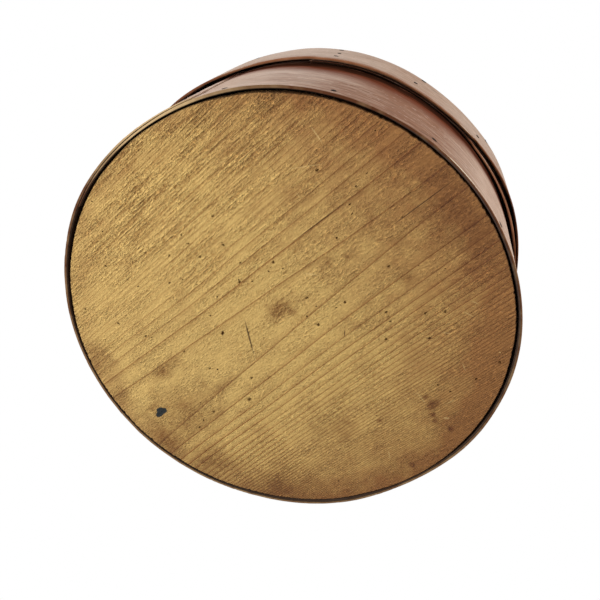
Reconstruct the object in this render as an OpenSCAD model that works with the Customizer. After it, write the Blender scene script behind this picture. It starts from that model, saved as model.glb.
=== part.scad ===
// Round bentwood pantry box: two hoops of bent strip, each lapped and tacked onto itself,
// each closed by a board that is nailed in through the hoop. The lid's hoop slips over the box.
// The box stands on its bottom board at z = 0, with its axis on +Z.

/* [Box] */
// Outside radius of the side, away from its lap
box_r = 127; // [80:1:180]
// Height of the side
box_h = 117; // [70:1:180]
// Thickness of the side's strip
side_t = 1.7; // [1.2:0.1:3]
// Thickness of the bottom board
bottom_t = 9.5; // [6:0.5:14]

/* [Lid] */
// Depth of the lid's hoop
lid_h = 48; // [30:1:65]
// Thickness of the lid's strip
lid_strip_t = 1.4; // [1.2:0.1:3]
// Thickness of the lid's board
lid_board_t = 8; // [6:0.5:14]
// Free room all round between the side and the lid's hoop
lid_fit = 1.4; // [0.2:0.1:2.5]

/* [Laps] */
// How far round the side laps over itself, in degrees
side_lap = 42; // [30:1:100]
// Where the side's inner end lies, in degrees seen from above
side_end_at = -174; // [-180:1:180]
// Slit between the two layers of the side's lap
side_slit = 0.1; // [0.1:0.1:0.6]
// How far round the lid's hoop laps over itself, in degrees
lid_lap = 76; // [40:1:100]
// Where the lid's inner end lies, in degrees seen from above
lid_end_at = -112; // [-180:1:180]
// Slit between the two layers of the lid's lap
lid_slit = 0.9; // [0.1:0.1:1.2]
// Thickness left at each end of a strip, which is pared thin over the whole lap
tip_t = 0.7; // [0.4:0.1:1]
// How far round a strip takes to climb onto its own inner end, in degrees
climb = 24; // [16:1:36]

/* [Boards] */
// Gap between the bottom board and the side, along the grain
bottom_fit = 0.7; // [0.2:0.05:1.2]
// How much the bottom board has shrunk on each side, across the grain
bottom_shrink = 1.7; // [0.2:0.1:3]
// Direction of the bottom board's grain, in degrees
bottom_grain_at = -64; // [-180:1:180]
// Gap between the lid's board and its hoop, along the grain
lid_board_fit = 0.3; // [0.2:0.05:1.2]
// How much the lid's board has shrunk on each side, across the grain
lid_board_shrink = 0.4; // [0.2:0.1:3]
// Direction of the lid board's grain, in degrees
lid_grain_at = 18; // [-180:1:180]
// Chamfer on the outer rim of a board
board_chamfer = 0.6; // [0.2:0.1:1.5]

/* [Nails and tacks] */
// Number of nails round each board
nail_count = 15; // [8:1:24]
// Length of a nail under its head
nail_l = 18; // [12:0.5:26]
// Radius of a nail's shank
nail_r = 0.7; // [0.5:0.05:1]
// Radius of a nail's head
nail_head_r = 1.5; // [1.2:0.1:2.2]
// Where the first bottom nail lies, in degrees past the side's inner end
bottom_nail_angle = 1.2; // [0:0.1:20]
// Where the first lid nail lies, in degrees past the lid's inner end
lid_nail_angle = 5.3; // [0:0.1:20]
// Radius of a tack's shank
tack_r = 0.55; // [0.4:0.05:0.8]
// Radius of a tack's head
tack_head_r = 1.4; // [1.1:0.1:2]
// How far a head stands out of the wood
head_proud = 0.15; // [0.05:0.05:0.4]
// How far a head is driven into the wood
head_sunk = 0.3; // [0.1:0.05:0.5]
// Tacks in each upright row of the side's lap
side_tack_count = 5; // [2:1:8]
// Tacks in each upright row at the ends of the lid's lap
lid_tack_count = 2; // [2:1:4]
// Single tacks along the middle of the lid's lap
lid_middle_count = 2; // [1:1:5]
// Distance from a row of tacks to the end of the strip that it holds
tack_inset = 13; // [8:0.5:16]
// Distance from the first and last tack of a row to the edge or board next to it
tack_margin = 13; // [8:0.5:16]
// Room between a nail or tack and its hole
hole_room = 0.05; // [0.02:0.01:0.1]

/* [Hidden] */
$fn = 180;
// A cut runs this far past the face that it opens
past = 1;
// Length of a nail's point
nail_point = 3 * nail_r;

// How much further out the outer layer of a lap lies than the rest of its hoop
function rise_of(slit) = tip_t + slit;
function unit(angle) = [cos(angle), sin(angle)];

side_in = box_r - side_t;
// The side's greatest reach from the axis, on the outer layer of its lap
side_reach = box_r + rise_of(side_slit);

lid_in = side_reach + head_proud + lid_fit;
lid_top = box_h + lid_board_t;
lid_base = lid_top - lid_h;

// Each strip: inner radius, thickness, slit, lap and direction of its inner end
side_strip = [side_in, side_t, side_slit, side_lap, side_end_at];
lid_strip = [lid_in, lid_strip_t, lid_slit, lid_lap, lid_end_at];
function inner_r(s) = s[0];
function thick(s) = s[1];
function slit_of(s) = s[2];
function lap_of(s) = s[3];
function end_at(s) = s[4];

// Inner radius of the outer layer where it comes onto the inner end
function lap_r(s) = inner_r(s) + rise_of(slit_of(s));

// Centre of the arc on which a strip climbs: from the hoop's own circle at the angle -climb
// to the outer layer's circle at the inner end
function climb_centre(s) =
    (lap_r(s) * lap_r(s) - inner_r(s) * inner_r(s)) / (2 * lap_r(s) * sin(climb)) * unit(90 - climb);
function climb_r(s) = norm([lap_r(s), 0] - climb_centre(s));

// Centre of the scarf between the two layers of a lap: an arc about it leaves the inner layer
// as thick as a tip at its end, and all its thickness where the outer layer ends
function scarf_centre(s) =
    let (
        tip = inner_r(s) + tip_t,
        face = inner_r(s) + thick(s)
    )
    (face * face - tip * tip) / (2 * tip * sin(lap_of(s))) * unit(90 + lap_of(s));

// Centre and radius of the outer face at an angle past the inner end
function outer_face(s, angle) =
    angle < lap_of(s) ? [[0, 0], lap_r(s) + thick(s)]
    : angle > 360 - climb ? [climb_centre(s), climb_r(s) + thick(s)]
    : [[0, 0], inner_r(s) + thick(s)];

// Depth from the outer face of the lap to the inside of the hoop
function lap_depth(s) = thick(s) + rise_of(slit_of(s));

// Plan of a strip

module sector(from, to, r) {
    steps = ceil((to - from) / 60);
    polygon([[0, 0], for (i = [0 : steps]) 2 * r * unit(from + (to - from) * i / steps)]);
}

// The disc inside the climbing stretch, or inside a face that lies further out by t
module climb_disc(s, t = 0) {
    translate(climb_centre(s)) circle(r = climb_r(s) + t);
}

// The disc inside a face of the scarf, which starts at radius r at the inner end
module scarf_disc(s, r) {
    translate(scarf_centre(s)) circle(r = norm([r, 0] - scarf_centre(s)));
}

module strip_plan(s) {
    r = inner_r(s);
    t = thick(s);
    reach = lap_r(s) + t;
    difference() {
        union() {
            circle(r = r + t);
            intersection() {
                circle(r = reach);
                climb_disc(s, t);
                sector(-climb - past, lap_of(s), reach);
            }
        }
        circle(r = r);
        intersection() {
            climb_disc(s);
            sector(-climb - past, 0, reach);
        }
        intersection() {
            difference() {
                scarf_disc(s, lap_r(s));
                scarf_disc(s, r + tip_t);
            }
            sector(0, lap_of(s) + past, reach);
        }
    }
}

module bent_strip(s, h) {
    rotate(end_at(s)) linear_extrude(height = h) strip_plan(s);
}

// Puts its children on the outer face of a strip, with +Z pointing out of the wood
module on_strip(s, angle, z) {
    face = outer_face(s, angle % 360);
    rotate(end_at(s)) translate([face[0].x, face[0].y, z]) rotate(angle) translate([face[1], 0, 0])
        rotate([0, 90, 0]) children();
}

// Nails and tacks

// A nail with a flat head and a point; room makes it the hole that it sits in
module nail(room = 0) {
    top = room > 0 ? past : head_proud;
    rotate_extrude() polygon([
        [0, top],
        [nail_head_r + room, top],
        [nail_head_r + room, -head_sunk - room],
        [nail_r + room, -head_sunk - room],
        [nail_r + room, nail_point - nail_l - room],
        [0, -nail_l - room]
    ]);
}

// A tack whose point is clinched flat into the inner face at the given depth
module tack(depth, room = 0) {
    clinch_r = (tack_r + tack_head_r) / 2;
    top = room > 0 ? past : head_proud;
    bottom = room > 0 ? -depth - past : -depth;
    rotate_extrude() polygon([
        [0, top],
        [tack_head_r + room, top],
        [tack_head_r + room, -head_sunk - room],
        [tack_r + room, -head_sunk - room],
        [tack_r + room, head_sunk + room - depth],
        [clinch_r + room, head_sunk + room - depth],
        [clinch_r + room, bottom],
        [0, bottom]
    ]);
}

module nail_ring(s, from, z, room = 0) {
    for (i = [0 : nail_count - 1]) on_strip(s, from + i * 360 / nail_count, z) nail(room);
}

// An upright row of tacks between two heights
module tack_row(s, angle, low, high, count, room = 0) {
    for (i = [0 : count - 1])
        on_strip(s, angle, low + (high - low) * (count > 1 ? i / (count - 1) : 0.5))
            tack(lap_depth(s), room);
}

module all_bottom_nails(room = 0) {
    nail_ring(side_strip, bottom_nail_angle, bottom_t / 2, room);
}

module all_lid_nails(room = 0) {
    nail_ring(lid_strip, lid_nail_angle, lid_top - lid_board_t / 2, room);
}

module all_side_tacks(room = 0) {
    inset = tack_inset / side_in * 180 / PI;
    for (angle = [inset, side_lap - inset])
        tack_row(side_strip, angle, bottom_t + tack_margin, box_h - tack_margin, side_tack_count, room);
}

module all_lid_tacks(room = 0) {
    inset = tack_inset / lid_in * 180 / PI;
    low = lid_base + tack_margin;
    high = box_h - tack_margin;
    middle = (low + high) / 2;
    for (angle = [inset, lid_lap - inset])
        tack_row(lid_strip, angle, low, high, lid_tack_count, room);
    for (i = [1 : lid_middle_count])
        tack_row(lid_strip, inset + i * (lid_lap - 2 * inset) / (lid_middle_count + 1),
                 middle, middle, 1, room);
}

// Boards

// A disc with a chamfered upper rim
module rimmed_disc(r, t) {
    rotate_extrude() polygon([
        [0, 0], [r, 0], [r, t - board_chamfer], [r - board_chamfer, t], [0, t]
    ]);
}

// A round board that has shrunk: two arcs that have drawn together across the grain
module shrunk_board(r, t, grain_at, shrink) {
    rotate(grain_at) intersection() {
        translate([0, shrink]) rimmed_disc(r, t);
        translate([0, -shrink]) rimmed_disc(r, t);
    }
}

// Pieces

module bottom_board() {
    color("#b9995c") difference() {
        translate([0, 0, bottom_t]) mirror([0, 0, 1])
            shrunk_board(side_in - bottom_fit, bottom_t, bottom_grain_at, bottom_shrink);
        all_bottom_nails(hole_room);
    }
}

module side_band() {
    color("#9c8378") difference() {
        bent_strip(side_strip, box_h);
        all_bottom_nails(hole_room);
        all_side_tacks(hole_room);
    }
}

module side_lap_tacks() {
    color("#2e2a28") all_side_tacks();
}

module bottom_nails() {
    color("#2e2a28") all_bottom_nails();
}

module lid_board() {
    color("#b08f58") difference() {
        translate([0, 0, box_h])
            shrunk_board(lid_in - lid_board_fit, lid_board_t, lid_grain_at, lid_board_shrink);
        all_lid_nails(hole_room);
    }
}

module lid_band() {
    color("#a88a76") difference() {
        translate([0, 0, lid_base]) bent_strip(lid_strip, lid_h);
        all_lid_nails(hole_room);
        all_lid_tacks(hole_room);
    }
}

module lid_lap_tacks() {
    color("#2e2a28") all_lid_tacks();
}

module lid_nails() {
    color("#2e2a28") all_lid_nails();
}

bottom_board();
side_band();
side_lap_tacks();
bottom_nails();
lid_board();
lid_band();
lid_lap_tacks();
lid_nails();
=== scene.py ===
"""Round bentwood pantry box: boards, bent strips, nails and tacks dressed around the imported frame.

Lengths are metres in the mesh code; the shaders turn coordinates to millimetres first.
"""

import math
from types import SimpleNamespace

import bpy
import numpy as np
from bpy.props import FloatProperty, FloatVectorProperty, IntProperty, PointerProperty
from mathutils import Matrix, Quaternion, Vector


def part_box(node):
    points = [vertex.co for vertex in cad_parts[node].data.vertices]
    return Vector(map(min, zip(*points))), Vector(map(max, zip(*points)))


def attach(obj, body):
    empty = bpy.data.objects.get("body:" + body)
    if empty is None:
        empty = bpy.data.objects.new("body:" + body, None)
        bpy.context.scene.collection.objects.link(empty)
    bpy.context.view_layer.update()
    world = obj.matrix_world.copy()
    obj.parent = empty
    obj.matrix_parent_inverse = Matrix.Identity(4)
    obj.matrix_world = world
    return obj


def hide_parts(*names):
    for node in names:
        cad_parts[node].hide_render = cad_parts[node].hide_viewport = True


bl_info = {
    "name": "Bentwood pantry box",
    "version": (1, 0, 0),
    "blender": (4, 5, 0),
    "location": "3D View > Sidebar > Pantry box",
    "description": "Builds the pine boards, bent strips and iron fasteners of a round bentwood box",
    "category": "Object",
}

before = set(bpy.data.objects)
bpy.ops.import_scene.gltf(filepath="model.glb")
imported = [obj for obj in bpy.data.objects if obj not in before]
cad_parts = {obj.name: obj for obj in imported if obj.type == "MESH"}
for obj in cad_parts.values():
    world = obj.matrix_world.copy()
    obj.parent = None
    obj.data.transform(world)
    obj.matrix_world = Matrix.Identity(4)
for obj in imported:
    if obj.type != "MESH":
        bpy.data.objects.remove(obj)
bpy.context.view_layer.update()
MM = 0.001

# Marks on the underside of the bottom board, in millimetres along and across its grain.
# A pit is along, across, radius.
PITS = (
    (-57.4, -85.3, 1.1), (-88.6, -74.9, 1.0), (-22.4, -67.2, 0.9), (-70.8, -40.4, 1.0), (-78.9, -56.1, 1.3),
    (-22.2, -45.5, 0.9), (-58.9, -19.7, 1.2), (-31.4, -15.0, 1.5), (-54.3, -2.4, 1.1), (-29.2, -27.2, 0.9),
    (-73.9, 20.8, 1.3), (-90.2, 24.1, 1.2), (-37.8, 16.7, 1.2), (-49.1, 27.0, 1.8), (-8.3, -71.4, 0.9),
    (-8.3, -65.5, 0.9), (-8.7, -56.1, 1.2), (13.3, -68.0, 0.9), (6.7, -53.3, 0.9), (7.2, -40.0, 0.9),
    (-1.1, -32.2, 1.1), (22.0, -29.7, 1.0), (5.0, -28.3, 0.9), (16.3, -27.3, 0.9), (72.4, -52.6, 1.2),
    (71.9, -24.8, 1.1), (22.7, -3.3, 1.4), (17.2, 12.8, 1.4), (37.8, 10.8, 1.3), (31.7, 10.6, 1.0),
    (68.9, 8.3, 1.0), (50.3, 33.7, 0.9), (68.1, 40.3, 1.1), (41.7, 40.8, 1.0), (52.0, 28.0, 1.2),
    (76.6, 45.5, 1.1), (60.9, 53.7, 1.1), (47.2, 79.4, 0.9), (50.2, 86.7, 0.9), (82.2, 86.0, 1.3),
)
# A stain is along, across, half length, half width, strength.
STAINS = (
    (6, -7, 9, 7, 0.6), (10, -2, 5, 4, 0.5), (-79, -18, 13, 6, 0.55), (-106, -3, 17, 4.5, 0.5),
    (-114, 18, 14, 17, 0.65), (-101, 47, 16, 17, 0.55), (-60, 11, 15, 5, 0.42), (-109, -46, 11, 13, 0.45),
    (-115, -23, 7, 8, 0.45), (-84, 82, 28, 16, 0.45), (-19, 69, 18, 14, 0.36), (-90, 12, 30, 24, 0.5),
    (45, -13, 5, 3.5, 0.5), (55, -9, 4, 3, 0.45), (72, 19, 5, 3.5, 0.5), (37.8, 88.7, 4.4, 2.8, 0.9),
    (37.2, 82, 1.7, 1.5, 0.9), (33.3, 93.7, 1.9, 2.2, 0.9), (32, 97.8, 2.0, 1.6, 0.9),
    (35.8, 107.2, 2.2, 1.6, 0.9), (2, 116, 2.2, 2.2, 0.9), (5.6, 80.6, 2.0, 1.6, 0.6),
    (38, 26, 6, 4, 0.4), (112, 8, 16, 40, 0.45),
)
# The tarry spot is three lobes of along, across, half length, half width, strength.
TAR = ((-102.6, 1.6, 3.8, 3.0, 1.0), (-105.2, 2.6, 3.0, 2.2, 1.0), (-100.4, 2.4, 2.4, 2.0, 1.0))
# A scratch is its two ends along and across the grain, then its half width; light ones are bare wood.
DARK_SCRATCHES = (
    ((-14, -15), (-26, 6), 0.65), ((78, -8), (126, -8.6), 0.35), ((-33, -13.6), (-29.4, -16.4), 0.8),
    ((34, -32), (73, -31.6), 0.3), ((24, 27), (27.5, 23), 0.35), ((59, 52), (63, 55), 0.4),
)
LIGHT_SCRATCHES = (
    ((-22, 0), (-28, 10), 0.4), ((60, -62.8), (78.3, -52.2), 0.3), ((84, -72), (83, -60), 0.4),
    ((31, -15), (37, -9), 0.6), ((56.7, -50.6), (56.7, -46.7), 0.3), ((43, 92), (50, 92.4), 0.35),
    ((84, 50), (87, 57), 0.3), ((91, 48), (93, 52), 0.3), ((35, 75), (34.5, 87), 0.3),
    ((36.5, 98.5), (40, 101), 0.9), ((68, 54), (71.8, 58), 0.3), ((66.3, 75), (64.3, 81), 0.3),
    ((85, 80.5), (86, 81.5), 0.5), ((-3, 99.8), (-6, 106), 0.35),
)
# Flats where the hoops dried out of round: direction and half width in degrees, depth in millimetres, below
# nought for a bulge.
SIDE_FLATS = ((-145, 32, 1.2), (28, 26, 1.3), (134, 24, 0.5), (-22, 26, -0.45), (56, 28, -0.65),
              (86, 24, -0.3))
LID_FLATS = ((-70, 30, 1.4), (-92, 30, 1.4), (-122, 32, 1.75), (120, 40, 0.6))
# How pale each strip's bare edge and rubbed face are, by direction in degrees; the face's paleness is partly
# wear and partly painted sheen. An edge below nought is painted black as shadow. The lid's edge list runs
# on past 180 along the strip, so each layer of its lap has its own.
SIDE_EDGE = ((-180, 0.1), (-168, 0.1), (-158, 0.5), (-150, 1.0), (-138, 1.0), (-130, 0.6), (-118, 0.2),
             (-108, 0.0), (-45, 0.0), (-22, 0.15), (0, 0.15), (15, 0.25), (55, 0.22), (90, 0.32), (135, 0.22),
             (180, 0.1))
SIDE_RUB_AND_SHEEN = ((-180, 0.6), (-150, 1.0), (-125, 1.0), (-104, 0.4), (-88, 0.0), (-72, 0.2), (-60, 0.9),
            (-40, 1.0), (0, 0.5), (90, 0.7), (180, 0.6))
# From -112 to -67 degrees the lid's inner layer edge is painted black: painted shadow under the outer layer.
LID_EDGE_AND_SHADOW = ((-112, -1.0), (-67, -1.0), (-63, 0.7), (-46, 0.9), (-40, 0.7), (-32, 0.2), (0, 0.0),
            (180, 0.1), (215, 0.1), (232, 0.25), (248, 0.2), (270, 0.25), (288, 0.3), (300, 0.05), (336, 0.0))
LID_RUB_AND_SHEEN = ((-180, 0.6), (-130, 1.0), (-106, 1.0), (-86, 0.8), (-66, 1.0), (-50, 0.9), (0, 0.6), (180, 0.6))
# How far each edge shows a painted highlight along its inner arris, and how far in its brown gives way to
# painted shade, by direction in degrees.
SIDE_LINE = ((-180, 0.0), (-92, 0.0), (-70, 1.0), (-25, 1.0), (0, 0.0), (180, 0.0))
LID_LINE = ((-180, 0.3), (180, 0.3))
# How far light has bleached the sheltered wood, by direction in degrees: its red draws back towards the lid,
# and its dark line of painted shade below the lid fades.
SIDE_SHADE = ((-180, 0.8), (-128, 0.6), (-116, 0.2), (-106, 0.0), (-76, 0.1), (-66, 0.5), (-55, 0.75),
              (-30, 0.8), (0, 1.3), (150, 1.3), (180, 0.8))
LID_SHADE = ((-180, 0.0), (180, 0.0))
# Heights in millimetres at which that red begins and is full, each for kept and for bleached places.
SIDE_RED = ((36, 60), (64, 74))
LID_RED = ((84, 84), (76, 76))
# Heights in millimetres at which the dark line below the lid's edge, painted shade with some dirt,
# begins, is full, begins to fade and is gone. The lid has none, so its heights are above its top.
SIDE_SHADE_LINE = (61, 70, 77, 80)
LID_SHADE_LINE = (126, 130, 140, 150)
# Painted highlights on the worn lower arrises: direction, which runs on past 180 along the strip, and half
# width in degrees, then strength.
SIDE_HIGHLIGHTS = ((-68, 8, 1.3), (213, 9, 1.0), (-45, 30, 0.5), (20, 50, 0.4))
LID_HIGHLIGHTS = ((-58, 6, 0.7), (229, 6, 1.0), (292, 4, 1.2), (275, 40, 0.5))
# Dark cracks in the strips: two ends as direction in degrees and height in millimetres, then the half width.
SIDE_CRACKS = (((-77.4, 8.2), (-81.5, 3.0), 0.35), ((-96, 31), (-99, 30.4), 0.3))
LID_CRACKS = (((-81, 110), (-76.5, 115), 0.7), ((-47, 101), (-44, 100), 0.5))
# The chip in the lid's lower edge: its angle past the inner end, half width and depth.
LID_CHIP = (math.radians(360 + 47.5), 2.0 * MM, 2.2 * MM)
# Angles before a lap's outer end: over the first the outer layer may gape, over the second it is drawn shut.
GAPE_ANGLE = math.radians(52)
SHUT_ANGLE = math.radians(20)
# The share of the lid hoop's height at which its board is seated.
BOARD_SEAT = 0.83
# The one bottom nail that was driven far above the middle of the board's edge, by its number, and how far.
HIGH_NAIL, HIGH_NAIL_BY = 4, 3.6 * MM


def linear(code):
    """Linear RGBA of an sRGB hex colour."""
    srgb = np.array([int(code[i:i + 2], 16) for i in (1, 3, 5)]) / 255
    rgb = np.where(srgb <= 0.04045, srgb / 12.92, ((srgb + 0.055) / 1.055) ** 2.4)
    return (*rgb.tolist(), 1.0)


def length(name, description, millimetres):
    """A length property whose default is given in millimetres."""
    return FloatProperty(name=name, description=description, default=millimetres * MM,
                         subtype="DISTANCE", unit="LENGTH", precision=5)


def angle(name, description, degrees):
    """An angle property whose default is given in degrees."""
    return FloatProperty(name=name, description=description, default=math.radians(degrees),
                         subtype="ANGLE", unit="ROTATION")


def tint(name, description, code):
    """A colour property whose default is an sRGB hex colour."""
    return FloatVectorProperty(name=name, description=description, default=linear(code),
                               subtype="COLOR", size=4, min=0, max=1)


def factor(name, description, value):
    """A setting between nought and one."""
    return FloatProperty(name=name, description=description, default=value, min=0, max=1, subtype="FACTOR")


def place(name, description, millimetres):
    """A point property whose default is given in millimetres."""
    return FloatVectorProperty(name=name, description=description, subtype="TRANSLATION", unit="LENGTH",
                               default=[value * MM for value in millimetres])


class BottomBoard(bpy.types.PropertyGroup):
    """The flat-sawn pine board that closes the box below."""
    fit: length("Fit", "Gap between the board and the strip along the grain", 0.7)
    shrink: length("Shrinkage", "How far each edge has drawn in across the grain", 1.25)
    grain_at: angle("Grain", "Direction of the grain, from +X", -64)
    ring: length("Ring width", "Width of a growth ring near the middle", 2.25)
    heart: length("Heart depth", "Depth of the tree's heart behind the shown face", 118)
    heart_at: length("Heart offset", "Place of the heart across the grain", -5.6)
    first_ring: length("First ring", "Depth of the first growth line that the face cuts", 0.68)
    early: tint("Earlywood", "Soft pale wood between the growth lines", "#C8A664")
    late: tint("Latewood", "Hard dark wood of the growth lines", "#824F1E")
    patina: tint("Patina", "Brown glaze of the handled and shaded side", "#BDA19C")
    stain: tint("Stain", "Brown glaze of old spills", "#AE9482")
    soot: tint("Soot", "Dark dirt in pits and scratches", "#3C220C")
    tar: tint("Tar", "Blue-black of the tarry spot", "#191E1F")


class LidBoard(bpy.types.PropertyGroup):
    """The pine board that closes the lid above."""
    fit: length("Fit", "Gap between the board and the strip along the grain", 0.05)
    shrink: length("Shrinkage", "How far each edge has drawn in across the grain", 0.05)
    grain_at: angle("Grain", "Direction of the grain, from +X", 18)
    ring: length("Ring width", "Width of a growth ring near the middle", 2.6)
    heart: length("Heart depth", "Depth of the tree's heart behind the shown face", 95)
    heart_at: length("Heart offset", "Place of the heart across the grain", 18)
    first_ring: length("First ring", "Depth of the first growth line that the face cuts", 0.9)
    early: tint("Earlywood", "Soft pale wood between the growth lines", "#B08A5C")
    late: tint("Latewood", "Hard dark wood of the growth lines", "#74482A")
    patina: tint("Patina", "Brown glaze of the handled side", "#C4A695")
    soot: tint("Soot", "Dark dirt in pits", "#38231A")


class SideStrip(bpy.types.PropertyGroup):
    """The strip that is bent into the box's side."""
    thickness: length("Thickness", "Thickness of the strip", 1.7)
    slit: length("Slit", "Air between the lapped layers", 0.1)
    lap: angle("Lap", "Angle over which the two ends lap", 42)
    end_at: angle("Inner end", "Direction of the inner end, from +X", -174)
    climb: angle("Climb", "Angle over which the strip climbs onto its own inner end", 24)
    tip: length("Tip", "Thickness left at each end, pared over the whole lap", 0.7)
    arris: length("Arris", "Rounding of the worn edges", 0.25)
    spring: length("Spring", "How far the layers part at the lower edge of the lap", 0.0)
    gape: length("Gape", "How far the outer layer stands off before its end", 0.0)
    wave: length("Wave", "How far the hoop strays from round", 0.05)
    lean: factor("Lean", "Share of the flats that the upper edge is free of", 0.0)
    face: tint("Face", "Oiled face of the strip", "#8B6149")
    # This paler tone also stands for a painted sheen.
    worn: tint("Worn", "Paler rubbed places", "#C6A995")
    shade: tint("Shade", "Red-brown that the lid has kept from light", "#6C3825")
    edge: tint("Edge", "Bare edge of the strip", "#58331F")
    edge_pale: tint("Pale edge", "Edge where it is worn to clean wood", "#CDAE80")
    # This grey is laid as a painted highlight along the edge's inner arris.
    inner_arris_highlight: tint("Inner line", "Rubbed line along the edge's inner side", "#5A4741")
    # This colour is also laid as painted shade and shadow: below the lid, in the joint and on the edges.
    grime_and_shade: tint("Grime", "Dark handled dirt", "#22150E")


class LidStrip(bpy.types.PropertyGroup):
    """The strip that is bent into the lid's hoop."""
    thickness: length("Thickness", "Thickness of the strip", 1.4)
    slit: length("Slit", "Air between the lapped layers", 0.9)
    lap: angle("Lap", "Angle over which the two ends lap", 88)
    end_at: angle("Inner end", "Direction of the inner end, from +X", -112)
    climb: angle("Climb", "Angle over which the strip climbs onto its own inner end", 24)
    tip: length("Tip", "Thickness left at each end, pared over the whole lap", 0.7)
    arris: length("Arris", "Rounding of the worn edges", 0.3)
    spring: length("Spring", "How far the layers part at the lower edge of the lap", 0.1)
    gape: length("Gape", "How far the outer layer stands off before its end", 1.15)
    wave: length("Wave", "How far the hoop strays from round", 0.1)
    lean: factor("Lean", "Share of the flats that the upper edge is free of", 0.3)
    face: tint("Face", "Oiled face of the strip", "#946A4E")
    # This paler tone also stands for a painted sheen.
    worn: tint("Worn", "Paler rubbed places", "#BBA08D")
    shade: tint("Shade", "Red-brown near the lower edge", "#83513B")
    edge: tint("Edge", "Bare edge of the strip", "#6E3F26")
    edge_pale: tint("Pale edge", "Edge where it is worn to clean wood", "#C68C68")
    # This grey is laid as a painted highlight along the edge's inner arris.
    inner_arris_highlight: tint("Inner line", "Rubbed line along the edge's inner side", "#4A2C1E")
    # This colour is also laid as painted shade and shadow on the edges and in the joint.
    grime_and_shade: tint("Grime", "Dark handled dirt", "#24160F")


class Fasteners(bpy.types.PropertyGroup):
    """Hand-driven iron nails and clinched tacks."""
    nails: IntProperty(name="Nails", description="Nails round each board", default=15, min=5)
    nail_head: length("Nail head", "Radius of a nail's head", 1.45)
    tack_head: length("Tack head", "Radius of a tack's head", 1.35)
    proud: length("Proud", "How far a head stands out of the wood", 0.15)
    bottom_from: angle("First bottom nail", "Angle of the first bottom nail past the inner end", 1.2)
    lid_from: angle("First lid nail", "Angle of the first lid nail past the inner end", 5.3)
    inset: length("Tack inset", "Distance of a row of tacks from the strip's end", 13)
    margin: length("Tack margin", "Distance of a row's last tacks from the strip's edges", 13)
    lid_row: angle("Last lid tacks", "Angle of the lid's last pair of tacks past the inner end", 70.2)
    iron: tint("Iron", "Black worn iron", "#181210")
    rust: tint("Rust", "Brown rust on the iron", "#38221A")


class Stage(bpy.types.PropertyGroup):
    """Camera, lamps and floor."""
    camera_at: place("Camera", "Where the camera stands", (0, -192.4, -318.7))
    aim: place("Aim", "Point on the underside at the middle of the picture", (4.2, -19.1, 0))
    roll: angle("Roll", "Turn of the camera about its own axis", 23.93)
    lens: FloatProperty(name="Lens", description="Focal length on a 36 mm sensor", default=40.59,
                        unit="CAMERA")
    floor: tint("Floor", "Pale floor", "#F2F1EE")
    daylight: FloatProperty(name="Daylight", description="Strength of the light from all round",
                            default=0.33, min=0)


class PantryBox(bpy.types.PropertyGroup):
    """All settings of the box."""
    bottom: PointerProperty(type=BottomBoard)
    lid: PointerProperty(type=LidBoard)
    side_strip: PointerProperty(type=SideStrip)
    lid_strip: PointerProperty(type=LidStrip)
    iron: PointerProperty(type=Fasteners)
    stage: PointerProperty(type=Stage)


# Shapes

def ripple(x, y, size_x, size_y, seed, waves=24):
    """Smooth random relief of zero mean: a sum of plane waves whose directions, lengths and phases are drawn
    from a fixed seed; size_x and size_y are the mean wavelengths."""
    draw = np.random.default_rng(seed)
    heading = draw.uniform(0, 2 * np.pi, waves)
    pace = draw.uniform(0.6, 1.7, waves) * 2 * np.pi
    phase = draw.uniform(0, 2 * np.pi, waves)
    total = 0
    for h, k, p in zip(heading, pace, phase):
        total = total + np.cos(k * (np.cos(h) * x / size_x + np.sin(h) * y / size_y) + p)
    return total * math.sqrt(2 / waves)


def strip_form(props, node, flats):
    """The strip's measures: from its settings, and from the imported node's box, whose +Y side is the outer
    face of the plain hoop, one thickness outside the inner radius."""
    low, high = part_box(node)
    return SimpleNamespace(inner=high.y - props.thickness, low=low.z, high=high.z, thickness=props.thickness,
                           slit=props.slit, rise=props.tip + props.slit, tip=props.tip, lap=props.lap,
                           climb=props.climb, end_at=props.end_at, arris=props.arris, spring=props.spring,
                           wave=props.wave, gape=props.gape, flats=flats, lean=props.lean)


def out_of_round(flats, heading):
    """How far a hoop lies inside its circle: the sum of its flats, each a squared cosine of the angle from
    its middle."""
    total = 0
    for at, half_width, depth in flats:
        away = np.abs((heading - math.radians(at) + np.pi) % (2 * np.pi) - np.pi)
        total = total + depth * MM * np.cos(np.pi / 2 * np.clip(away / math.radians(half_width), 0, 1)) ** 2
    return total


def by_direction(points, heading):
    """Straight steps between values given by direction in degrees; a list that runs on past 180 gives each
    layer of a lap its own."""
    degrees, values = np.array(points).T
    around = np.degrees(heading)
    if degrees[-1] <= 180:
        around = (around + 180) % 360 - 180
    return np.interp(around, degrees, values)


def standing_off(form, left):
    """How far the lap stands out before its outer end: a squared sine of the angle left to that end."""
    return form.gape * np.sin(np.pi * np.clip(left / GAPE_ANGLE, 0, 1)) ** 2


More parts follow.
